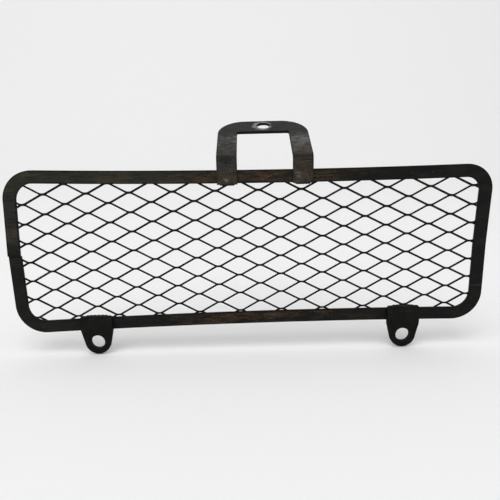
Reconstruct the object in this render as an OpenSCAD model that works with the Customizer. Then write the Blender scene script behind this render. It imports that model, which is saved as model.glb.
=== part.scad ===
// Small welded grille guard for an oil cooler or radiator: a bent strip rim in two halves,
// an expanded-metal screen behind it, a stamped top bracket with a bent flange, and two tabs.
// Units are mm. X is to the viewer's right, Z is up, and -Y faces the viewer.
// The origin is midway between the two tab holes, on the tabs' back faces.

/* [Rim] */
// Width of the rim at its middle height
rim_w = 237.8; // [200:0.2:300]
// Height of the rim: the mean of its two ends
rim_h = 81; // [66:0.5:110]
// How much taller the left end is than the right
rim_taper = 4.3; // [0:0.1:5]
// Place of the rim's middle to the right of the tab holes' middle
rim_x = -0.7; // [-6:0.1:6]
// Width of the rim's strip
strip_w = 6.3; // [5:0.1:7.4]
// Thickness of the rim's strip
strip_t = 1.5; // [1:0.1:3]
// Outside radius of the top left corner
top_left_corner_r = 15; // [9:0.5:18]
// Outside radius of the top right corner
top_right_corner_r = 12.5; // [9:0.5:18]
// Outside radius of the two bottom corners
bottom_corner_r = 14.5; // [9:0.5:20]
// How far each long side bows in at its middle
long_side_bow = 1.35; // [0:0.05:2]
// Height of the left butt joint above the rim's centre
left_joint_z = -0.75; // [-14:0.25:14]
// Height of the right butt joint above the rim's centre
right_joint_z = -21.25; // [-22:0.25:14]
// Step in the left side where the lower strip starts
joint_step = 0.5; // [0:0.1:0.8]
// How far the left side leans in between its joint and the top corner
left_lean = 1.5; // [0:0.1:2]
// How far the right side leans out between its middle and the top corner
right_lean = 0.8; // [0:0.1:2]

/* [Screen] */
// Long way of the diamond, from bond to bond
mesh_long_pitch = 21; // [16:0.5:30]
// Short way of the diamond, from bond to bond
mesh_short_pitch = 9.5; // [7.5:0.02:14]
// Width of one strand
mesh_strand_w = 1.05; // [0.6:0.05:1.4]
// Length of one bond
mesh_bond_l = 2; // [1.6:0.1:4.6]
// Height of one bond
mesh_bond_h = 1.2; // [0.7:0.05:1.6]
// Front-to-back depth of the raised screen
mesh_depth = 1.7; // [1:0.1:3]
// Lap of the screen behind the rim
mesh_lap = 4; // [3:0.5:4.5]
// Place of one bond to the right of the rim's centre
mesh_shift_x = 6.54; // [-10:0.01:10]
// Place of that bond above the rim's centre
mesh_shift_z = 0.7; // [-4:0.01:4]
// Turn of the screen in the rim, in degrees
mesh_turn = 0.25; // [0:0.05:1]
// Share by which the diamonds grow taller from that bond to the rim's left end
mesh_fan = 0.03; // [0:0.005:0.06]

/* [Top bracket] */
// Overall width of the bracket
bracket_w = 46.2; // [38:0.1:60]
// Width of one leg
bracket_leg_w = 9.8; // [8:0.1:12]
// Thickness of the bracket's sheet
bracket_t = 1.6; // [1:0.1:2.5]
// Place of the bracket's middle to the right of the rim's centre
bracket_x = 9.8; // [-20:0.1:20]
// Rise of the legs from the rim to the bend
bracket_rise = 6.8; // [4:0.1:20]
// Angle that the flange is bent back, in degrees
bend_angle = 66; // [30:1:90]
// Inside radius of the bend
bend_r = 1.5; // [1:0.1:3]
// Length of the flange from the bend to its far edge
flange_l = 39.3; // [34:0.1:60]
// Radius of the flange's two shoulders
shoulder_r = 14; // [6:0.5:17]
// Length of the window in the flange
window_l = 26.8; // [15:0.1:27]
// Radius of the window's far corners
window_r = 1.2; // [0.5:0.1:4]
// Radius of the flange's bolt hole
top_hole_r = 3.5; // [2.2:0.05:4]
// Distance of that hole from the flange's far edge
top_hole_edge = 5.7; // [5:0.1:9]
// Place of that hole to the right of the bracket's middle
top_hole_x = 0.5; // [-4:0.1:4]
// How far the feet reach past the rim's strip
foot_past = 0.3; // [0.2:0.05:0.8]

/* [Tabs] */
// Spacing of the two tab holes
tab_spacing = 156.8; // [110:0.2:190]
// Drop of the tab holes below the rim's lower edge
tab_drop = 6.1; // [5:0.1:16]
// Radius of the tab holes
tab_hole_r = 3.5; // [2.2:0.05:4]
// Radius of the tabs' round ends
tab_end_r = 6.6; // [5.5:0.1:7.5]
// Width of the tabs where they cross the rim
tab_w = 16.4; // [15.2:0.1:22]
// Thickness of the tabs
tab_t = 2; // [1:0.1:3]
// How far the tabs reach past the rim's strip
tab_past = 1.5; // [0.3:0.1:2]
// Chamfer on the tabs' upper corners
tab_chamfer = 1.2; // [0.3:0.1:2]

/* [Welds] */
// Half width of a weld bead
weld_r = 1; // [0.6:0.1:1.2]
// Depth of a weld bead behind what it holds
weld_t = 1.2; // [0.6:0.1:1.4]
// Length of bare edge left at each end of a bead
weld_short = 1.2; // [0.5:0.1:3]

/* [Hidden] */

// Fineness of the curved outlines, and of round cuts
bow_steps = 14;
corner_steps = 12;
round_fn = 64;
// Run of a cutter past the faces that it cuts
over = 1;

// Half sizes of the rim, at its middle and at its two ends
half_w = rim_w / 2;
half_h = rim_h / 2;
left_h = half_h + rim_taper / 4;
right_h = half_h - rim_taper / 4;
// Half lengths of the bowed part of the top side and of the bottom side
top_run = half_w - top_right_corner_r;
bottom_run = half_w - bottom_corner_r;
// Height of the rim's centre above the tab holes
rim_z = half_h + tab_drop;
// Places of the two legs and the two tabs, from the middle of what they stand on
leg_x = bracket_w / 2 - bracket_leg_w / 2;
tab_x = tab_spacing / 2;
// Rows and columns of diamonds that are sure to cover the rim
mesh_cols = ceil(rim_w / mesh_long_pitch) + 3;
mesh_rows = ceil((rim_h + rim_taper) / mesh_short_pitch) + 3;
// Bend: the outside radius, and the flat that it takes up on each side of the sharp corner
bend_out_r = bend_r + bracket_t;
bend_back = bend_out_r * tan(bend_angle / 2);

rim_colour = [0.13, 0.12, 0.12];
screen_colour = [0.2, 0.2, 0.21];
bracket_colour = [0.3, 0.3, 0.3];
tab_colour = [0.17, 0.17, 0.18];
weld_colour = [0.4, 0.36, 0.32];

// Half height of the rim at x: the long sides are shallow parabolas that draw in to the right
function side_z(x, run) = half_h - (left_h - right_h) / 2 * x / run
    - long_side_bow * (1 - pow(x / run, 2));
// Points of an arc about c from angle a by turn
function arc(c, r, a, turn) = [for (k = [0 : corner_steps])
    let(t = a + turn * k / corner_steps) [c[0] + r * cos(t), c[1] + r * sin(t)]];
// Points of a long side that runs from one x to the other; up is 1 at the top, -1 at the bottom
function long_side(run, up, inset) = [for (k = [1 : bow_steps - 1])
    let(x = up * run * (2 * k / bow_steps - 1)) [x, up * (side_z(x, run) - inset)]];
// The rim's outline moved in by inset, clockwise from the top left corner
function outline(inset, narrow) = let(
        w = half_w - inset - narrow / 2,
        hl = left_h - inset,
        hr = right_h - inset,
        top_l = side_z(top_left_corner_r + left_lean - half_w, top_run) - inset,
        rtl = top_left_corner_r - inset,
        rtr = top_right_corner_r - inset,
        rb = bottom_corner_r - inset)
    concat(
        arc([-w + left_lean + rtl, top_l - rtl], rtl, 180, -90),
        long_side(w - rtr, 1, inset),
        arc([w + right_lean - rtr, hr - rtr], rtr, 90, -90),
        [[w, 0]],
        arc([w - rb, -hr + rb], rb, 0, -90),
        long_side(w - rb, -1, inset),
        arc([-w + rb, -hl + rb], rb, -90, -90),
        [[-w, left_joint_z]]);

// A flat sheet of an outline drawn about the rim's centre; back is its rear face
module sheet(back, t) {
    translate([rim_x, back, rim_z]) rotate([90, 0, 0]) linear_extrude(height = t) children();
}

module ring(narrow) {
    translate([narrow / 2, 0]) difference() {
        polygon(outline(0, narrow));
        polygon(outline(strip_w, narrow));
    }
}

// Everything above the two butt joints
module above_joints() {
    polygon([[-rim_w, left_joint_z], [0, left_joint_z], [0, right_joint_z],
        [rim_w, right_joint_z], [rim_w, rim_h], [-rim_w, rim_h]]);
}

module rim_upper() {
    color(rim_colour) sheet(strip_t, strip_t) intersection() {
        ring(0);
        above_joints();
    }
}

module rim_lower() {
    color(rim_colour) sheet(strip_t, strip_t) difference() {
        ring(joint_step);
        above_joints();
    }
}

// One diamond opening between four bonds, with a flat at its top and bottom
module diamond() {
    slope = mesh_short_pitch / (mesh_long_pitch - 2 * mesh_bond_l);
    half_v = mesh_strand_w / 2 * sqrt(1 + slope * slope);
    reach = (mesh_long_pitch - mesh_bond_l) / 2;
    top = (mesh_short_pitch - mesh_bond_h) / 2;
    tip = reach - half_v / slope;
    flat = reach - (top + half_v) / slope;
    polygon([[-tip, 0], [-flat, top], [flat, top], [tip, 0], [flat, -top], [-flat, -top]]);
}

module screen() {
    color(screen_colour) sheet(strip_t + mesh_depth, mesh_depth) difference() {
        polygon(outline(strip_w - mesh_lap, 0));
        translate([mesh_shift_x, mesh_shift_z]) rotate(mesh_turn)
            for (i = [-mesh_cols : mesh_cols], j = [-mesh_rows : mesh_rows])
                if (abs(i + j) % 2 == 1)
                    let(x = i * mesh_long_pitch / 2, grow = 1 - mesh_fan * x / half_w)
                        translate([x, grow * j * mesh_short_pitch / 2])
                            scale([1, grow]) diamond();
    }
}

// Side view of the bent sheet, with y to the right and z up; mid_z is the bend's centre
function bracket_side(foot_z, mid_z) = let(
        c = [bend_r, mid_z],
        along = [sin(bend_angle), cos(bend_angle)],
        back = [cos(bend_angle), -sin(bend_angle)],
        far = c - bend_out_r * back + (flange_l - bend_back + over) * along)
    concat(
        [[0, foot_z], [-bracket_t, foot_z]],
        arc(c, bend_out_r, 180, -bend_angle),
        [far, far + bracket_t * back],
        arc(c, bend_r, 180 - bend_angle, bend_angle));

// Plan of the bracket seen square to its flange: u runs along the flange from the sharp
// corner of the bend, and the legs run on past it to -legs
module bracket_plan(legs) {
    half = bracket_w / 2;
    gap = half - bracket_leg_w;
    difference() {
        union() {
            translate([-half, -legs]) square([bracket_w, legs + flange_l - shoulder_r]);
            translate([shoulder_r - half, 0])
                square([bracket_w - 2 * shoulder_r, flange_l]);
            for (side = [-1, 1])
                translate([side * (half - shoulder_r), flange_l - shoulder_r])
                    circle(r = shoulder_r, $fn = 2 * round_fn);
        }
        translate([-gap, -legs - over]) square([2 * gap, legs + window_l - window_r + over]);
        translate([window_r - gap, 0]) square([2 * (gap - window_r), window_l]);
        for (side = [-1, 1])
            translate([side * (gap - window_r), window_l - window_r])
                circle(r = window_r, $fn = round_fn);
        translate([top_hole_x, flange_l - top_hole_edge])
            circle(r = top_hole_r, $fn = round_fn);
    }
}

// The bent sheet and the plan each run past the other, so no two of their faces lie together
module top_bracket() {
    edge_z = rim_z + side_z(bracket_x, top_run);
    bend_z = edge_z + bracket_rise;
    leg_l = bracket_rise + strip_w + foot_past + over;
    color(bracket_colour) translate([rim_x + bracket_x, 0, 0]) intersection() {
        translate([-bracket_w / 2 - over, 0, 0]) rotate([90, 0, 90])
            linear_extrude(height = bracket_w + 2 * over)
                polygon(bracket_side(bend_z + over - leg_l, bend_z - bend_back));
        translate([0, -bracket_t, bend_z]) rotate([90 - bend_angle, 0, 0])
            translate([0, 0, -leg_l - bend_out_r])
                linear_extrude(height = leg_l + bend_out_r + over) bracket_plan(leg_l);
    }
}

// A tab: a round end about its hole, straight flanks tangent to it, and a chamfered top;
// x is its place from the rim's middle
module tab(x) {
    half = tab_w / 2;
    hole_y = -half_h - tab_drop;
    top_y = tab_past + strip_w - side_z(x, bottom_run);
    lean = atan2(half, tab_drop) - acos(tab_end_r / sqrt(half * half + tab_drop * tab_drop));
    touch_x = tab_end_r * cos(lean);
    touch_y = tab_end_r * sin(lean);
    difference() {
        sheet(0, tab_t) translate([x, 0]) {
            translate([0, hole_y]) circle(r = tab_end_r, $fn = round_fn);
            polygon([[-touch_x, hole_y + touch_y], [touch_x, hole_y + touch_y],
                [half, -half_h], [half, top_y - tab_chamfer],
                [half - tab_chamfer, top_y], [tab_chamfer - half, top_y],
                [-half, top_y - tab_chamfer], [-half, -half_h]]);
        }
        translate([rim_x + x, -tab_t - over, 0]) rotate([-90, 0, 0])
            cylinder(r = tab_hole_r, h = tab_t + 2 * over, $fn = round_fn);
    }
}

module tab_left() {
    color(tab_colour) tab(-tab_x - rim_x);
}

module tab_right() {
    color(tab_colour) tab(tab_x - rim_x);
}

// A bead with round ends along the rim's inner edge, behind the end of what it holds
module bead(x, z, l, narrow) {
    run = l / 2 - weld_r;
    sheet(weld_t, weld_t) difference() {
        union() {
            translate([x - run, z - weld_r]) square([2 * run, 2 * weld_r]);
            for (side = [-1, 1])
                translate([x + side * run, z]) circle(r = weld_r, $fn = round_fn);
        }
        ring(narrow);
    }
}

module foot_weld(side) {
    x = bracket_x + side * leg_x;
    edge = side_z(bracket_x, top_run) - strip_w;
    color(weld_colour) bead(x, edge - foot_past / 2, bracket_leg_w - 2 * weld_short, 0);
}

module tab_weld(side) {
    x = side * tab_x - rim_x;
    edge = strip_w - side_z(x, bottom_run);
    color(weld_colour)
        bead(x, edge + tab_past / 2, tab_w - 2 * tab_chamfer - 2 * weld_short, joint_step);
}

module weld_foot_left() {
    foot_weld(-1);
}

module weld_foot_right() {
    foot_weld(1);
}

module weld_tab_left() {
    tab_weld(-1);
}

module weld_tab_right() {
    tab_weld(1);
}

rim_upper();
rim_lower();
screen();
top_bracket();
tab_left();
tab_right();
weld_foot_left();
weld_foot_right();
weld_tab_left();
weld_tab_right();
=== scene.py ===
import bpy
import numpy as np
from mathutils import Matrix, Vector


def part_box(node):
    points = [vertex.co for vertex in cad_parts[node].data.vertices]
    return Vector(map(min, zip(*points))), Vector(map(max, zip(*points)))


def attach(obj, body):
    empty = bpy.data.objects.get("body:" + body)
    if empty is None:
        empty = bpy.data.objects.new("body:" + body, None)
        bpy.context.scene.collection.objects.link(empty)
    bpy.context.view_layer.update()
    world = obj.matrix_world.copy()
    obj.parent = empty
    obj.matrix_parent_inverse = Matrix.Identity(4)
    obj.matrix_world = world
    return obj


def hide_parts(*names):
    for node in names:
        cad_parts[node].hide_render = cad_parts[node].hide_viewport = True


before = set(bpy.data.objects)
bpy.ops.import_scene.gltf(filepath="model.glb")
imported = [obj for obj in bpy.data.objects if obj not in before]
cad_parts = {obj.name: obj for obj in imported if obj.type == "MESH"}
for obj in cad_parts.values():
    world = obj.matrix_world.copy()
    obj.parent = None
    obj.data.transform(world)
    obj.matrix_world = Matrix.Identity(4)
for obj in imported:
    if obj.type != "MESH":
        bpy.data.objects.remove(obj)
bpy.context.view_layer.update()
MM = 0.001

# ------------------------------------------------------------------------------------------
# The rim: two lengths of flat steel strip bent on edge round the corners and butt-joined,
# one joint at each end. Brushed with satin black that has gone brown over the hot middle.
# ------------------------------------------------------------------------------------------
RIM_W, RIM_H, TAPER, BOW = 237.8, 81.0, 4.3, 1.35
LEFT_LEAN, RIGHT_LEAN = 1.5, 0.8
RIM_X, RIM_Z = -0.7, 46.6
STRIP_W, STRIP_T = 6.3, 1.5
TOP_LEFT_R, TOP_R, BOTTOM_R = 15.0, 12.5, 14.5
LEFT_JOINT, RIGHT_JOINT, STEP = -0.75, -21.25, 0.5
LEFT_H, RIGHT_H = RIM_H / 2 + TAPER / 4, RIM_H / 2 - TAPER / 4
# The waves of its face, each a height and a length, and how far back they are set.
LONG_WAVE, SHORT_WAVE, SET_BACK = (0.05, 22), (0.02, 6), 0.07
EDGE_ROUND = 0.2


def arc(centre, radius, start, turn, steps=26):
    """Points centre + radius (cos t, sin t), with t in degrees from start through turn."""
    t = np.radians(start + turn * np.linspace(0.0, 1.0, steps))
    return np.stack([centre[0] + radius * np.cos(t), centre[1] + radius * np.sin(t)], 1)


def line(a, b, steps):
    """Points a + (b - a) k for k evenly from 0 to 1."""
    k = np.linspace(0.0, 1.0, steps)[:, None]
    return np.asarray(a, float) + (np.asarray(b, float) - np.asarray(a, float)) * k


def side_height(x, run):
    """Half height of the rim at x: h - taper x / run - bow (1 - (x / run)^2)."""
    k = x / run
    return RIM_H / 2 - TAPER / 4 * k - BOW * (1 - k ** 2)


def long_side(run, up, inset, steps=120):
    """Points (x, up (half height - inset)) for x from -run to run, or back if up is -1."""
    x = up * np.linspace(-run, run, steps)
    return np.stack([x, up * (side_height(x, run) - inset)], 1)


def upper_line(inset):
    """Upper half of the rim's outline moved in by inset, from the left joint to the right.

    The left side leans in and the right side leans out on the way to their corners.
    """
    w, r, r_left = RIM_W / 2 - inset, TOP_R - inset, TOP_LEFT_R - inset
    run, turn_x = w - r, LEFT_LEAN - w + r_left
    left, right = side_height(turn_x, run) - inset - r_left, RIGHT_H - inset - r
    top = long_side(run, 1, inset)[:-1]
    return np.concatenate([
        line((-w, LEFT_JOINT), (LEFT_LEAN - w, left), 30)[:-1],
        arc((turn_x, left), r_left, 180, -90)[:-1], top[top[:, 0] > turn_x],
        arc((w + RIGHT_LEAN - r, right), r, 90, -90)[:-1],
        line((w + RIGHT_LEAN, right), (w, 0), 24)[:-1], line((w, 0), (w, RIGHT_JOINT), 18)])


def lower_line(inset):
    """Lower half of the outline, from the right joint to the left, stepped in on the left."""
    w, r = (RIM_W - STEP) / 2 - inset, BOTTOM_R - inset
    left, right = inset + r - LEFT_H, inset + r - RIGHT_H
    points = np.concatenate([
        line((w, RIGHT_JOINT), (w, right), 8)[:-1], arc((w - r, right), r, 0, -90)[:-1],
        long_side(w - r, -1, inset)[:-1], arc((-w + r, left), r, -90, -90)[:-1],
        line((-w, left), (-w, LEFT_JOINT), 30)])
    return points + [STEP / 2, 0]


def between(edge, other, rows):
    """Grid (1 - v) edge + v other, with v taking each value in rows."""
    v = np.asarray(rows, float)[:, None, None]
    return (1 - v) * edge[None] + v * other[None]


def weave(*grids):
    """Joins grids of points into one list of points and quads, sharing those that coincide.

    Quads of flat points all turn the same way: those of negative area are reversed.
    """
    points = np.concatenate([g.reshape(-1, g.shape[-1]) for g in grids])
    quads, first = [], 0
    for g in grids:
        index = first + np.arange(g.shape[0] * g.shape[1]).reshape(g.shape[:2])
        quads.append(np.stack([index[:-1, :-1], index[:-1, 1:], index[1:, 1:], index[1:, :-1]],
                              -1).reshape(-1, 4))
        first += index.size
    _, keep, new = np.unique(np.round(points, 4), axis=0, return_index=True,
                             return_inverse=True)
    points, quads = points[keep], new.ravel()[np.concatenate(quads)]
    if points.shape[1] == 2:
        a, b, c, d = (points[quads[:, k]] for k in range(4))
        (across_x, across_y), (up_x, up_y) = (c - a).T, (d - b).T
        area = across_x * up_y - across_y * up_x
        quads = np.where(area[:, None] < 0, quads[:, ::-1], quads)
    return points, quads


def shell(name, points, faces, smooth=True, **attributes):
    """Mesh object from points in mm and quads, turned outside out if its volume is negative.

    A quad that uses a point twice becomes a triangle. Each attribute is a value per point.
    """
    a, b, c, d = (points[faces[:, k]] for k in range(4))
    volume = np.einsum("ij,ij->i", a, np.cross(b, c)).sum()
    volume += np.einsum("ij,ij->i", a, np.cross(c, d)).sum()
    if volume < 0:
        faces = faces[:, ::-1]
    mesh = bpy.data.meshes.new(name)
    corners = [list(dict.fromkeys(face)) for face in faces.tolist()]
    mesh.from_pydata((points * MM).tolist(), [], corners)
    for key, values in attributes.items():
        mesh.attributes.new(key, "FLOAT", "POINT").data.foreach_set(
            "value", np.asarray(values, np.float32))
    mesh.polygons.foreach_set("use_smooth", np.full(len(mesh.polygons), smooth))
    mesh.update()
    piece = bpy.data.objects.new(name, mesh)
    bpy.context.scene.collection.objects.link(piece)
    return piece


def plate(name, front, back, quads, **attributes):
    """Closed sheet: front and back points share the quads, and open edges get a wall.

    The attribute wall is 1 at the points of that wall and 0 elsewhere.
    """
    n = len(front)
    edges = np.concatenate([quads[:, [k, (k + 1) % 4]] for k in range(4)])
    _, first, count = np.unique(np.sort(edges, 1), axis=0, return_index=True,
                                return_counts=True)
    start, end = edges[first[count == 1]].T
    walls = np.stack([end, start, start + n, end + n], 1)
    faces = np.concatenate([quads, quads[:, ::-1] + n, walls])
    attributes["wall"] = np.isin(np.arange(n), start)
    doubled = {k: np.tile(v, 2) for k, v in attributes.items()}
    return shell(name, np.concatenate([front, back]), faces, **doubled)


def soften(piece, width, segments=3):
    """Rounds every edge sharper than 50 degrees by width in mm."""
    bevel = piece.modifiers.new("rounded edges", "BEVEL")
    bevel.width, bevel.segments = width * MM, segments
    bevel.limit_method, bevel.angle_limit = "ANGLE", np.radians(50)
    bevel.harden_normals = True
    return piece


def ripple(x, z, seed, scale):
    """Mean of six sine waves of random direction, about scale mm from crest to crest."""
    rng = np.random.default_rng(seed)
    count, total = 6, np.zeros_like(x)
    for _ in range(count):
        a, p = rng.uniform(0, 2 * np.pi, 2)
        k = 2 * np.pi / (scale * rng.uniform(0.7, 1.5))
        total += np.sin(k * (x * np.cos(a) + z * np.sin(a)) + p)
    return total / count


def waves(x, z, seed, *pairs):
    """Sum of ripples, one for each pair of a height and a length in mm."""
    return sum(height * ripple(x, z, seed + k, length)
               for k, (height, length) in enumerate(pairs))


class Wire:
    """A socket in arithmetic: each operator adds the Math node that works it out."""

    def __init__(self, finish, socket):
        self.finish, self.socket = finish, socket

    def math(self, operation, *others):
        """Result of a Math node on this socket and the others, as a new Wire."""
        values = dict(enumerate((self,) + others))
        return self.finish.node("ShaderNodeMath", {"operation": operation}, values)

    def __add__(self, other):
        return self.math("ADD", other)

    def __mul__(self, other):
        return self.math("MULTIPLY", other)

    def __sub__(self, other):
        return self.math("SUBTRACT", other)

    def __rsub__(self, other):
        return self.math("MULTIPLY", -1.0) + other

    __radd__, __rmul__ = __add__, __mul__

    def step(self, low, high):
        """0 below low, 1 above high, and smooth between; low may be the greater."""
        if low > high:
            return 1 - self.step(high, low)
        return self.finish.node("ShaderNodeMapRange", {"interpolation_type": "SMOOTHSTEP"},
                                {"Value": self, "From Min": low, "From Max": high})

    def near(self, middle, reach):
        """1 at middle, falling smoothly to 0 at reach either side."""
        return (self - middle).math("ABSOLUTE").step(reach, 0.0)


class Finish:
    """A material on one Principled shader, with the position in mm as x, y and z."""

    def __init__(self, name, **constants):
        self.material = bpy.data.materials.new(name)
        self.material.use_nodes = True
        self.tree = self.material.node_tree
        self.shader = self.tree.nodes["Principled BSDF"]
        for key, value in constants.items():
            self.shader.inputs[key.replace("_", " ")].default_value = value
        place = self.node("ShaderNodeTexCoord", {}, {}, "Object")
        self.place = self.node("ShaderNodeVectorMath", {"operation": "SCALE"},
                               {0: place, "Scale": 1 / MM}, "Vector")
        self.x, self.y, self.z = (self.node("ShaderNodeSeparateXYZ", {}, {0: self.place}, k)
                                  for k in "XYZ")

    def node(self, kind, settings, sockets, output=0):
        """Adds a node, makes its settings, then fills or links its sockets."""
        made = self.tree.nodes.new(kind)
        for key, value in settings.items():
            setattr(made, key, value)
        for key, value in sockets.items():
            if isinstance(value, Wire):
                self.tree.links.new(value.socket, made.inputs[key])
            else:
                made.inputs[key].default_value = value
        return Wire(self, made.outputs[output])

    def noise(self, scale, detail=3.0, rough=0.5, stretch=(1, 1, 1)):
        """Noise of about scale mm from blob to blob, stretched along the given axes."""
        spot = self.node("ShaderNodeVectorMath", {"operation": "MULTIPLY"},
                         {0: self.place, 1: tuple(1 / (scale * s) for s in stretch)},
                         "Vector")
        return self.node("ShaderNodeTexNoise", {}, {"Vector": spot, "Scale": 1.0,
                                                    "Detail": detail, "Roughness": rough})

    def attribute(self, name):
        """The piece's own value of that name at each point."""
        return self.node("ShaderNodeAttribute", {"attribute_name": name}, {}, "Fac")

    def mix(self, factor, a, b):
        """Colour a where factor is 0 and b where it is 1."""
        def colour(c):
            return c if isinstance(c, Wire) else (*c, 1)
        return self.node("ShaderNodeMix", {"data_type": "RGBA"},
                         {"Factor": factor, 6: colour(a), 7: colour(b)}, 2)

    def spot(self, x, z, reach_x, reach_z=None):
        """1 at a point of the front, fading to 0 at an ellipse about it."""
        return self.x.near(x, reach_x) * self.z.near(z, reach_z or reach_x)

    def paint(self, colour, roughness, height, distance, metallic=None):
        """Joins the finished colour, roughness and height in mm to the shader."""
        bump = self.node("ShaderNodeBump", {}, {"Height": height, "Distance": distance * MM},
                         "Normal")
        for key, value in (("Base Color", colour), ("Roughness", roughness),
                           ("Normal", bump), ("Metallic", metallic)):
            if value is not None:
                self.tree.links.new(value.socket, self.shader.inputs[key])
        return self.material


def finish_piece(piece, material, slot, *nodes):
    """Gives a piece its finish and rides it on the one body in place of its CAD nodes."""
    piece.data.materials.append(material)
    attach(piece, "root")
    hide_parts(*nodes)


def strip(name, outline, seed):
    """Strip between the outline and the same line moved in by its width, with a wavy front.

    The front is set back by the waves' height, so that they stay within its thickness.
    """
    rows = np.array([0.0, 0.75, 1.3, 2.2, 3.15, 4.1, 5.0, 5.55, STRIP_W])
    points, quads = weave(between(outline(0.0), outline(STRIP_W), rows / STRIP_W))
    x, z = points.T + [[RIM_X], [RIM_Z]]
    front = np.stack([x, SET_BACK + waves(x, z, seed, LONG_WAVE, SHORT_WAVE), z], 1)
    back = np.stack([x, np.full_like(x, STRIP_T), z], 1)
    return soften(plate(name, front, back, quads), EDGE_ROUND)


RIM_LOW_RIGHT_BLACK = (0.0022, 0.0022, 0.0020)
SATIN = (0.0200, 0.0196, 0.0155)
WARM_SATIN = (0.0380, 0.0335, 0.0190)
STROKE = (0.0018, 0.0018, 0.0016)
DARK_RUST = (0.0100, 0.0066, 0.0040)
RUST = (0.0560, 0.0360, 0.0190)
ORANGE = (0.130, 0.060, 0.020)
BARE = (0.08, 0.075, 0.065)
JOINT = (0.22, 0.21, 0.18)
GAP = (0.002, 0.002, 0.002)
# Painted shade: near black laid on the edge walls of the rim and bracket, and along the bracket's
# bend.
EDGE_SHADE = (0.001, 0.001, 0.001)
RUST_X, RUST_REACH = 5.0, 88.0
ORANGE_X, ORANGE_Z = 10, RIM_Z + 35.7
rim = Finish("worn_black_rim", Specular_IOR_Level=0.15)
cloudy = rim.noise(7.0, 4.0, 0.6, stretch=(2.6, 1, 0.8))
grain = rim.noise(0.9, 4.0, 0.65)
speck = rim.noise(0.35, 2.0, 0.6)
brushed = rim.noise(1.2, 4.0, 0.7, stretch=(7, 1, 0.8))
hot = rim.x.near(RUST_X, RUST_REACH)
blotch = cloudy * 1.2 + brushed * 0.5 + grain * 0.3
rust = hot * blotch.step(0.86, 1.12)
rust = rust * (hot.step(0.3, 0.75) * 0.45 + 0.55)
top_edge = rim.z.step(RIM_Z, RIM_Z + 10)
bright_rust = rim.spot(ORANGE_X, ORANGE_Z, 9, 3.2)
bright_rust = bright_rust * (grain * 0.5 + brushed * 0.5).step(0.44, 0.6)
joint_x = RIM_W / 2 - 3
joint = rim.spot(RIM_X + joint_x, RIM_Z + RIGHT_JOINT, 5.0, 0.6)
gap_line = rim.spot(RIM_X - joint_x, RIM_Z + LEFT_JOINT, 5.0, 0.7)
nick = rim.noise(2.2, 1.0, 0.5).step(0.75, 0.8)
patchy = (grain * 0.45 + brushed * 0.55).step(0.43, 0.57)
leftward = rim.x.step(80, -60)
# The rim is lighter towards its upper left and darker towards its lower right.
colour = rim.mix(leftward * (top_edge * 0.8 + 0.1), RIM_LOW_RIGHT_BLACK, SATIN)
colour = rim.mix(cloudy.step(0.47, 0.60) * (top_edge * leftward * 0.55 + 0.15), colour,
                 WARM_SATIN)
colour = rim.mix(brushed.step(0.5, 0.40) * 0.6, colour, STROKE)
colour = rim.mix(rust, colour, rim.mix(patchy, DARK_RUST, RUST))
colour = rim.mix(bright_rust * 0.75, colour, ORANGE)
colour = rim.mix(nick * 0.5, colour, BARE)
colour = rim.mix(joint, colour, JOINT)
colour = rim.mix(gap_line * 0.9, colour, GAP)
# Painted shade: the strip's edge walls are coloured near black.
colour = rim.mix(rim.attribute("wall").step(0.1, 0.6) * 0.93, colour, EDGE_SHADE)
rim_finish = rim.paint(colour, 0.5 + rust * 0.25 + grain * 0.14,
                       grain * 0.5 + speck * 0.3 + cloudy * 0.8 + brushed * 0.5 - nick * 0.3,
                       0.09)

rim_upper = strip("rim_upper_strip", upper_line, 11)
finish_piece(rim_upper, rim_finish, "rim_paint", "rim_upper")
rim_lower = strip("rim_lower_strip", lower_line, 23)
finish_piece(rim_lower, rim_finish, "rim_paint", "rim_lower")

# ------------------------------------------------------------------------------------------
# The screen: one sheet of expanded steel, slit and stretched so that its bonds stand almost
# on edge, cut to lie under the rim and spot-welded to its back. Dipped in black.
# ------------------------------------------------------------------------------------------
LONG_PITCH, SHORT_PITCH, BOND_L = 21.0, 9.5, 2.0
SHIFT_X, SHIFT_Z, TURN, FAN = 6.54, 0.7, 0.25, 0.03
STRAND_W, STRAND_T, STRAND_CHAMFER, TILT = 0.9, 0.9, 0.1, 70.0
KINK, BOND_OVERLAP = 0.55, 1.04
SCREEN_Y, CUT_IN = 2.35, 2.1
# Rows above the middle, half the length of a strand, its step and its fewest points.
HALF_ROWS, HALF_SHEET, ALONG_STEP, SHORTEST = 10, 132.0, 0.62, 4


def strand(row, x):
    """Path of the strand between two rows of bonds: flat along each bond, straight between.

    Height is the short pitch times a clipped ramp on the distance from the nearest lower
    bond, averaged from KINK before to KINK after to round its corners, and depth follows
    height. All heights grow by the share FAN from the middle to the left end.
    """
    half = LONG_PITCH / 2
    rise, shifts = 0, np.linspace(-KINK, KINK, 7)
    for shift in shifts:
        d = np.abs((x + shift + half * (row % 2) + half) % LONG_PITCH - half)
        rise = rise + np.clip((d - BOND_L / 2) / (half - BOND_L), 0, 1) / len(shifts)
    lean = STRAND_W / 2 * np.cos(np.radians(TILT))
    z = row * SHORT_PITCH / 2 + lean + rise * (SHORT_PITCH / 2 - 2 * lean)
    z = z * (1 - FAN * x / (RIM_W / 2))
    y = SCREEN_Y + (rise - 0.5) * STRAND_W * np.sin(np.radians(TILT))
    c, s = np.cos(np.radians(TURN)), np.sin(np.radians(TURN))
    return np.stack([SHIFT_X + c * x - s * z, y, SHIFT_Z + s * x + c * z], 1)


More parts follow.
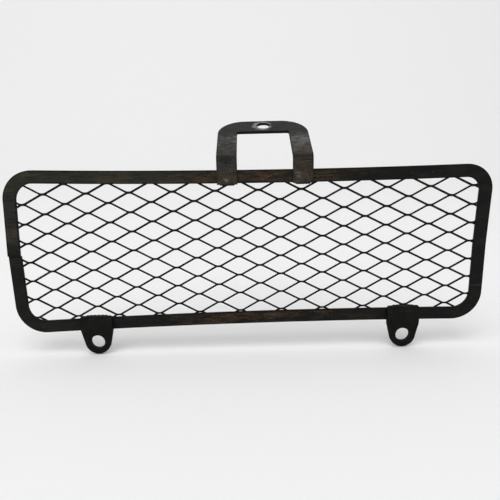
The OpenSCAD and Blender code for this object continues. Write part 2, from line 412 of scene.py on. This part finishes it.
def under_rim(p):
    """True for points inside the rim's outline moved in by CUT_IN.

    Beyond a corner's centre a point is inside if it is nearer to it than the radius, and
    elsewhere if it is nearer to the middle than the sides are.
    """
    w, x, z = RIM_W / 2 - CUT_IN, p[:, 0], p[:, 2]
    r = np.where(z < 0, BOTTOM_R, np.where(x < 0, TOP_LEFT_R, TOP_R)) - CUT_IN
    end = np.where(x > 0, RIGHT_H, LEFT_H) - CUT_IN - r
    side = side_height(np.clip(x, r - w, w - r), w - r) - CUT_IN
    lean = np.where(x < 0, LEFT_LEAN, -RIGHT_LEAN) * np.clip(z / (RIGHT_H - TOP_R), 0, 1)
    past_x = np.abs(x) + lean - w + r
    past_z = np.abs(z) - end
    return np.where((past_x > 0) & (past_z > 0), np.hypot(past_x, past_z) < r,
                    (past_x < r) & (np.abs(z) < side))


def swept(path, profile, up):
    """Carries an eight-sided profile (a, b) along a path: point + a up + b across.

    Up is made square to the path, across is square to both, and each end is closed.
    """
    ahead = np.gradient(path, axis=0)
    ahead /= np.linalg.norm(ahead, axis=1)[:, None]
    a = up - ahead * (ahead @ up)[:, None]
    a /= np.linalg.norm(a, axis=1)[:, None]
    b = np.cross(ahead, a)
    rings = path[:, None] + profile[:, 0, None] * a[:, None] + profile[:, 1, None] * b[:, None]
    n, m = rings.shape[:2]
    index = np.arange(n * m).reshape(n, m)
    after = np.roll(index, -1, 1)
    sides = np.stack([index[:-1], after[:-1], after[1:], index[1:]], -1).reshape(-1, 4)
    caps = [[[e[0], e[7], e[6], e[1]], [e[1], e[6], e[5], e[2]], [e[2], e[5], e[4], e[3]]]
            for e in (index[0], index[-1, ::-1])]
    return rings.reshape(-1, 3), np.concatenate([sides, np.concatenate(caps)])


w, t, c = STRAND_W / 2 * BOND_OVERLAP, STRAND_T / 2, STRAND_CHAMFER
section = np.array([(w, t - c), (w - c, t), (c - w, t), (-w, t - c),
                    (-w, c - t), (c - w, -t), (w - c, -t), (w, c - t)])
upright = np.array([0, -np.sin(np.radians(TILT)), np.cos(np.radians(TILT))])
parts, faces, count = [], [], 0
along = np.arange(-HALF_SHEET, HALF_SHEET, ALONG_STEP)
for row in range(-HALF_ROWS, HALF_ROWS):
    path = strand(row, along)
    inside = under_rim(path)
    ends = np.flatnonzero(np.diff(np.concatenate([[0], inside.astype(int), [0]])))
    for start, stop in ends.reshape(-1, 2):
        if stop - start < SHORTEST:
            continue
        p, f = swept(path[start:stop] + [RIM_X, 0, RIM_Z], section, upright)
        parts.append(p)
        faces.append(f + count)
        count += len(p)
screen = shell("expanded_screen", np.concatenate(parts), np.concatenate(faces), smooth=False)

DIP_BLACK = (0.0035, 0.0034, 0.0032)
DIP_BROWN = (0.0070, 0.0062, 0.0052)
DUST = (0.020, 0.015, 0.010)
black = Finish("dipped_black_screen", Specular_IOR_Level=0.12)
drift = black.noise(14.0, 3.0, 0.5)
pimple = black.noise(0.5, 3.0, 0.6)
dusty = black.noise(2.5, 3.0, 0.7).step(0.6, 0.8)
colour = black.mix(drift.step(0.35, 0.7), DIP_BLACK, DIP_BROWN)
colour = black.mix(dusty * 0.4, colour, DUST)
black_finish = black.paint(colour, 0.45 + pimple * 0.15 + dusty * 0.15, pimple + drift, 0.05)
finish_piece(screen, black_finish, "screen_paint", "screen")

# ------------------------------------------------------------------------------------------
# The top bracket: sheet steel stamped as a U with a bolt hole in its bar, then bent back on
# a brake. Its two feet lap the rim. Thin grey-black paint, scuffed, browned by welding.
# ------------------------------------------------------------------------------------------
BRACKET_W, LEG_W, BRACKET_T, BRACKET_X = 46.2, 9.8, 1.6, RIM_X + 9.8
BEND_ANGLE, BEND_R, FLANGE_L, SHOULDER_R = 66.0, 1.5, 39.3, 14.0
WINDOW_L, WINDOW_R = 26.8, 1.2
HOLE_R, HOLE_X, HOLE_U, HOLE_BLOCK = 3.5, 0.5, 33.6, 5.6
FOOT_PAST, RISE = 0.3, 6.8
# Its dents, which grow for DENT_RUN from the foot up, and how far in its back is set.
LONG_DENT, SHORT_DENT, DENT_RUN, BACK_IN = (0.06, 17), (0.025, 5), 20, 0.04
CORNER_STEPS, BAR_STEPS, BRACKET_ROUND = 25, 8, 0.25
edge_z = RIM_Z + side_height(BRACKET_X - RIM_X, RIM_W / 2 - TOP_R)
bend_z = edge_z + RISE
foot_z = edge_z - STRIP_W - FOOT_PAST
OUT_R = BEND_R + BRACKET_T
flat_back = OUT_R * np.tan(np.radians(BEND_ANGLE) / 2)
leg_run = bend_z - flat_back - foot_z
bend_run = OUT_R * np.radians(BEND_ANGLE)


def unroll(u):
    """Distance from the foot up the outer face, of a place u along the flange's face."""
    return u - flat_back + bend_run + leg_run


def bent(flat, depth):
    """Bends flat points (x, s) back: straight up, round the bend, then along the flange.

    Depth is counted inwards from the outer face, square to it.
    """
    x, s = flat.T
    turn = np.clip((s - leg_run) / OUT_R, 0, np.radians(BEND_ANGLE))
    past = np.maximum(s - leg_run - bend_run, 0)
    r = OUT_R - depth
    y = BEND_R - r * np.cos(turn) + past * np.sin(turn)
    z = foot_z + np.minimum(s, leg_run) + r * np.sin(turn) + past * np.cos(turn)
    return np.stack([x + BRACKET_X, y, z], 1)


def block_edge(left, right, heights, across):
    """Points round a rectangle, anticlockwise from low left, its sides divided at heights."""
    low, high = heights[0], heights[-1]
    up = np.stack([np.full_like(heights, right), heights], 1)
    down = np.stack([np.full_like(heights, left), heights[::-1]], 1)
    return np.concatenate([line((left, low), (right, low), across)[:-1], up[:-1],
                           line((right, high), (left, high), across)[:-1], down])


def hole_edge(outline, radius, centre=(0, 0)):
    """Circle points: centre + radius times the unit vector towards each outline point."""
    aim = outline - np.array(centre)
    return centre + aim * (radius / np.linalg.norm(aim, axis=1))[:, None]


def leg_side(x, top):
    """Edge of a leg at x, up to where its corner starts, with points at both ends of the bend."""
    bend = leg_run + bend_run
    return np.concatenate([line((x, 0), (x, leg_run), 14)[:-1],
                           line((x, leg_run), (x, bend), 14)[:-1],
                           line((x, bend), (x, top), 22)])


half, gap = BRACKET_W / 2, BRACKET_W / 2 - LEG_W
s_window, s_far = unroll(WINDOW_L), unroll(FLANGE_L)
in_s, out_s = s_window - WINDOW_R, s_far - SHOULDER_R
leg_in, leg_out = leg_side(-gap, in_s), leg_side(-half, out_s)
turn_in = arc((-gap + WINDOW_R, in_s), WINDOW_R, 180, -90, CORNER_STEPS)
turn_out = arc((-half + SHOULDER_R, out_s), SHOULDER_R, 180, -90, CORNER_STEPS)
block_l, block_r = HOLE_X - HOLE_BLOCK, HOLE_X + HOLE_BLOCK
bar_in = line((-gap + WINDOW_R, s_window), (block_l, s_window), BAR_STEPS)
bar_out = line((-half + SHOULDER_R, s_far), (block_l, s_far), BAR_STEPS)
rows = np.array([0, 0.07, 0.14, 0.23, 0.36, 0.5, 0.64, 0.77, 0.86, 0.93, 1])
left_half = [between(leg_in, leg_out, rows), between(turn_in, turn_out, rows),
             between(bar_in, bar_out, rows)]
right_bar = between(line((block_r, s_window), (gap - WINDOW_R, s_window), BAR_STEPS),
                    line((block_r, s_far), (half - SHOULDER_R, s_far), BAR_STEPS), rows)
right_leg = [grid * [-1, 1] for grid in left_half[:2]]
block = block_edge(block_l, block_r, s_window + (s_far - s_window) * rows, 14)
circle = hole_edge(block, HOLE_R, (HOLE_X, unroll(HOLE_U)))
hole_rows = [0, 0.06, 0.16, 0.35, 0.6, 0.85, 1]
flat, quads = weave(*left_half, right_bar, *right_leg, between(circle, block, hole_rows))
x, s = flat.T
dents = waves(x, s, 5, LONG_DENT, SHORT_DENT) * np.clip(s / DENT_RUN, 0.2, 1) + SET_BACK
bracket = plate("bent_top_bracket", bent(flat, dents), bent(flat, BRACKET_T - BACK_IN), quads,
                run=s - leg_run)
soften(bracket, BRACKET_ROUND)

GREY_BLACK = (0.0045, 0.0048, 0.0040)
GREY = (0.0240, 0.0238, 0.0195)
SCUFF_GREY = (0.052, 0.052, 0.046)
GREY_STROKE = (0.003, 0.003, 0.0028)
PALE = (0.125, 0.125, 0.119)
BRIGHT = (0.34, 0.34, 0.33)
SCRATCH = (0.20, 0.18, 0.16)
DULL_LEG = (0.0030, 0.0034, 0.0028)
DULL_FLANGE = (0.0035, 0.0037, 0.0030)
DARK_BROWN = (0.0200, 0.0125, 0.0080)
BROWN = (0.1250, 0.0780, 0.0450)
FOOT_BLACK = (0.0070, 0.0052, 0.0038)
FOOT_BROWN = (0.0440, 0.0290, 0.0170)
# How far the worn ring's middle is from the hole's.
MARK_X, MARK_RUN = -0.7, -0.3
steel = Finish("scuffed_grey_bracket", Specular_IOR_Level=0.22)
run = steel.attribute("run")
mottle = steel.noise(4.5, 5.0, 0.7)
fine = steel.noise(0.8, 4.0, 0.65)
brushed = steel.noise(1.0, 4.0, 0.7, stretch=(9, 0.5, 0.5))
smear = steel.noise(2.2, 3.0, 0.6, stretch=(2.5, 1, 1))
off_x = steel.x - (BRACKET_X + HOLE_X + MARK_X)
off_run = run - (unroll(HOLE_U) - leg_run + MARK_RUN)
from_hole = (off_x * off_x + off_run * off_run).math("SQRT") + smear * 4.0 + fine * 1.5
washer = from_hole.step(8.4, 6.8) * (mottle * 0.4 + fine * 0.6).step(0.38, 0.52)
right = steel.x.step(BRACKET_X + gap - 2, BRACKET_X + gap)
left = steel.x.step(BRACKET_X - gap + 2, BRACKET_X - gap)
scuff = brushed.step(0.5, 0.62)
pale = (run.near(17.0, 14.0) * (left * 0.35 + right * 0.6)
        + right * run.near(19.0, 4.0) * scuff * 1.3 + right * run.near(7.9, 1.0) * scuff
        + left * (run.near(22.3, 2.0) + run.near(16.6, 1.8)) * smear.step(0.48, 0.58))
pale = pale * (mottle.step(0.35, 0.65) * 0.9 + 0.35)
brown = right * (run.near(9.6, 2.0) + run.near(5.8, 2.6)) + left * run.near(9.0, 6.0) * 0.5
brown = brown + right * run.near(-1.5, 4.0) * 0.4
brown = brown * (brushed * 0.6 + mottle * 0.5).step(0.46, 0.60)
foot = run.step(-2.6, -6.2)
scratch = (steel.spot(BRACKET_X - gap - LEG_W / 2 - 0.3, foot_z + 2.8, 2.0, 2.6)
           + steel.spot(BRACKET_X + gap + 2.6, foot_z + 4.0, 3.0, 2.4) * 0.6
           + steel.spot(BRACKET_X + gap + 3.4, foot_z + 0.4, 2.4, 1.0))
scratch = scratch * (smear * 0.6 + fine * 0.4).step(0.47, 0.58)
colour = steel.mix(mottle.step(0.40, 0.60), GREY_BLACK, GREY)
colour = steel.mix(scuff * 0.35, colour, SCUFF_GREY)
colour = steel.mix(brushed.step(0.47, 0.38) * 0.6, colour, GREY_STROKE)
colour = steel.mix(pale.step(0.0, 1.15), colour, PALE)
# Painted shade: a near-black band along the middle of the bend.
colour = steel.mix(run.near(1.7, 1.2) * 0.95, colour, EDGE_SHADE)
colour = steel.mix(run.step(1.0, 0.0) * right * 0.4, colour, DULL_LEG)
colour = steel.mix(run.step(25, 29) * 0.6, colour, DULL_FLANGE)
colour = steel.mix(brown * 0.85, colour,
                   steel.mix((fine * 0.5 + brushed * 0.5).step(0.43, 0.57), DARK_BROWN, BROWN))
colour = steel.mix(foot * 0.85, colour, steel.mix((fine * 0.45 + mottle * 0.55).step(0.43, 0.57),
                                                  FOOT_BLACK, FOOT_BROWN))
colour = steel.mix(scratch * 0.7, colour, SCRATCH)
colour = steel.mix(washer * 0.85, colour, BRIGHT)
# Painted shade: the bracket's edge walls in near black, weaker on the feet.
colour = steel.mix(steel.attribute("wall").step(0.1, 0.6) * (run.step(-4.0, -2.0) * 0.6 + 0.35),
                   colour, EDGE_SHADE)
steel_finish = steel.paint(colour, 0.5 + fine * 0.15 - washer * 0.12 + brown * 0.12,
                           mottle + fine * 0.4 + brushed * 0.4, 0.11, washer * 0.4)
finish_piece(bracket, steel_finish, "bracket_steel", "top_bracket")

# ------------------------------------------------------------------------------------------
# The two bottom tabs: short tongues of the same sheet with round ends and one punched hole,
# lapped on the face of the rim. Heavier black paint than the rim's, chipped at the hole.
# ------------------------------------------------------------------------------------------
TAB_X, TAB_DROP, TAB_HOLE_R, TAB_END_R = 78.4, 6.1, 3.5, 6.6
TAB_W, TAB_T, TAB_PAST, TAB_CHAMFER = 16.4, 2.0, 1.5, 1.2
TAB_WAVE, TAB_SET_BACK, TAB_ROUND = (0.05, 12), 0.06, 0.3


def tab_edge(x):
    """Round end about the hole, straight flanks tangent to it, and a top with cut corners.

    The top lies TAB_PAST above the inner edge of the rim at x.
    """
    w, c = TAB_W / 2, TAB_CHAMFER
    top = RIM_Z + STRIP_W + TAB_PAST - side_height(x - RIM_X, RIM_W / 2 - BOTTOM_R)
    start = np.degrees(np.arctan2(TAB_DROP, w) - np.arccos(TAB_END_R / np.hypot(w, TAB_DROP)))
    end = arc((0, 0), TAB_END_R, start, -180 - 2 * start, 60)
    return np.concatenate([
        end[:-1], line(end[-1], (-w, TAB_DROP), 8)[:-1],
        line((-w, TAB_DROP), (-w, top - c), 14)[:-1],
        arc((c - w, top - c), c, 180, -90, 8)[:-1],
        line((c - w, top), (w - c, top), 24)[:-1],
        arc((w - c, top - c), c, 90, -90, 8)[:-1],
        line((w, top - c), (w, TAB_DROP), 14)[:-1], line((w, TAB_DROP), end[0], 8)])


THICK_BLACK = (0.0030, 0.0030, 0.0027)
WARM_BLACK = (0.0065, 0.0064, 0.0054)
LINE_RUST, LINE_Z = (0.030, 0.017, 0.009), 12.6
# Painted shade: near black for the tabs' edge walls.
TAB_EDGE_SHADE = (0.0015, 0.0015, 0.0015)
tab_black = Finish("thick_black_tabs", Specular_IOR_Level=0.1)
patch = tab_black.noise(5.0, 4.0, 0.6)
peel = tab_black.noise(0.7, 3.0, 0.6)
colour = tab_black.mix(patch.step(0.35, 0.7), THICK_BLACK, WARM_BLACK)
colour = tab_black.mix(tab_black.z.near(LINE_Z, 1.0) * (patch + peel).step(0.9, 1.2) * 0.6,
                       colour, LINE_RUST)
# Painted shade: the tab's edge walls are coloured near black.
colour = tab_black.mix(tab_black.attribute("wall").step(0.15, 0.75) * 0.85, colour, TAB_EDGE_SHADE)
tab_finish = tab_black.paint(colour, 0.42 + peel * 0.16 + patch * 0.1, peel + patch, 0.07)

rows = np.array([0, 0.04, 0.12, 0.3, 0.5, 0.7, 0.88, 0.96, 1])
for name, place, seed in (("left", -TAB_X, 31), ("right", TAB_X, 37)):
    outline = tab_edge(place)
    flat, quads = weave(between(hole_edge(outline, TAB_HOLE_R), outline, rows))
    x, z = flat[:, 0] + place, flat[:, 1]
    depth = waves(x, z, seed, TAB_WAVE) + TAB_SET_BACK
    tab = plate(name + "_tab", np.stack([x, depth - TAB_T, z], 1),
                np.stack([x, np.zeros_like(x), z], 1), quads)
    finish_piece(soften(tab, TAB_ROUND), tab_finish, "tab_paint", "tab_" + name)

# ------------------------------------------------------------------------------------------
# The weld metal: a short lumpy run behind the end of each foot and tab, along the rim's
# inner edge. Left as it froze and painted over, so it is rough and catches rust.
# ------------------------------------------------------------------------------------------
BEAD_RINGS, BEAD_SIDES, LUMPS, LUMP_HEIGHT, BLUNTNESS = 60, 24, 6, 0.1, 8
BEAD_DEPTH, BEAD_HEIGHT = 0.98, 0.94
BEAD_BLACK, BEAD_RUST = (0.0045, 0.0040, 0.0036), (0.016, 0.011, 0.008)
bead_metal = Finish("painted_weld_bead", Specular_IOR_Level=0.12)
lumps = bead_metal.noise(0.9, 3.0, 0.6)
stain = bead_metal.noise(2.2, 3.0, 0.6).step(0.5, 0.75)
colour = bead_metal.mix(stain, BEAD_BLACK, BEAD_RUST)
bead_finish = bead_metal.paint(colour, 0.6 + stain * 0.2, lumps, 0.12)


def bead(name, low, high, seed):
    """Lumpy run between two corners of a box, a round section carried along it.

    Its radius is the root of 1 - |2 a - 1| to a high power, so that the ends close bluntly,
    times a sine wave for its lumps.
    """
    rng = np.random.default_rng(seed)
    a = np.linspace(0, 1, BEAD_RINGS)
    b = np.linspace(0, 2 * np.pi, BEAD_SIDES, endpoint=False)
    middle, size = (low + high) / 2, (high - low) / 2
    fat = np.sqrt(np.clip(1 - np.abs(2 * a - 1) ** BLUNTNESS, 0, 1))
    fat *= 1 - LUMP_HEIGHT + LUMP_HEIGHT * np.sin(2 * np.pi * a * LUMPS + rng.uniform(0, 6))
    fat[[0, -1]] = 0
    x = middle[0] + size[0] * (2 * a - 1)
    y = middle[1] + size[1] * np.outer(fat, np.cos(b)) * BEAD_DEPTH
    z = middle[2] + size[2] * np.outer(fat, np.sin(b)) * BEAD_HEIGHT
    grid = np.stack([np.broadcast_to(x[:, None], y.shape), y, z], -1)
    points, quads = weave(np.concatenate([grid, grid[:, :1]], 1))
    return shell(name, points, quads)


for name, node, seed in (("left_foot_bead", "weld_foot_left", 3),
                         ("right_foot_bead", "weld_foot_right", 4),
                         ("left_tab_bead", "weld_tab_left", 5),
                         ("right_tab_bead", "weld_tab_right", 6)):
    low, high = (np.array(corner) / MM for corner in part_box(node))
    finish_piece(bead(name, low, high, seed), bead_finish, "weld_metal", node)

# ------------------------------------------------------------------------------------------
# Where it is shown: a pale floor just under the tabs that curves up into a wall, a bright
# room, one soft lamp overhead, and a camera in front that looks down on it a little.
# ------------------------------------------------------------------------------------------
ROOM_W, FLOOR_FRONT, FLOOR_BACK, COVE_R, WALL_TOP = 9000.0, -6000.0, 700.0, 500.0, 1500.0
FLOOR_Z, FLOOR_WHITE, ROOM_LIGHT = -7.0, (0.93, 0.935, 0.93, 1), 0.66
CAMERA_PLACE, CAMERA_LENS = (1.03, -240.85, 106.63), 36.0
CAMERA_RIGHT, CAMERA_UP = (0.99969, -0.00591, -0.02401), (0.02473, 0.24288, 0.96974)
side_view = np.concatenate([line((FLOOR_FRONT, FLOOR_Z), (FLOOR_BACK, FLOOR_Z), 6)[:-1],
                            arc((FLOOR_BACK, FLOOR_Z + COVE_R), COVE_R, -90, 90)[:-1],
                            line((FLOOR_BACK + COVE_R, FLOOR_Z + COVE_R),
                                 (FLOOR_BACK + COVE_R, WALL_TOP), 4)])
cove = [np.insert(side_view, 0, x, 1) for x in (ROOM_W / 2, -ROOM_W / 2)]
floor = shell("pale_floor", *weave(np.stack(cove)))
pale_paint = Finish("pale_floor_paint", Roughness=0.9, Specular_IOR_Level=0.0,
                    Base_Color=FLOOR_WHITE)
floor.data.materials.append(pale_paint.material)

world = bpy.data.worlds.new("bright_room")
bpy.context.scene.world = world
world.use_nodes = True
background = world.node_tree.nodes["Background"]
background.inputs["Color"].default_value = (1, 1, 1, 1)
background.inputs["Strength"].default_value = ROOM_LIGHT


def set_up(name, data, right, up, place):
    """Puts a lamp or camera at place in mm; it looks away from right crossed with up."""
    turn = np.stack([right, up, np.cross(right, up)], 1)
    made = bpy.data.objects.new(name, data)
    made.matrix_world = Matrix([(*row, p * MM) for row, p in zip(turn, place)] + [(0, 0, 0, 1)])
    bpy.context.scene.collection.objects.link(made)
    return made


def lamp(name, place, aim, size, power):
    """Square soft lamp at place, in mm, facing aim."""
    data = bpy.data.lights.new(name, "AREA")
    data.size, data.energy = size * MM, power
    way = np.subtract(aim, place) / np.linalg.norm(np.subtract(aim, place))
    side = np.cross(way, (0, 0, 1))
    side /= np.linalg.norm(side)
    set_up(name, data, side, np.cross(side, way), place)


lamp("top_lamp", place=(-300, -900, 1900), aim=(0, 300, 0), size=1600, power=17)

camera_data = bpy.data.cameras.new("camera")
camera_data.sensor_width = camera_data.lens = CAMERA_LENS
camera_data.clip_start = 10 * MM
camera = set_up("camera", camera_data, CAMERA_RIGHT, CAMERA_UP, CAMERA_PLACE)
bpy.context.scene.camera = camera
bpy.context.scene.view_settings.view_transform = "Standard"
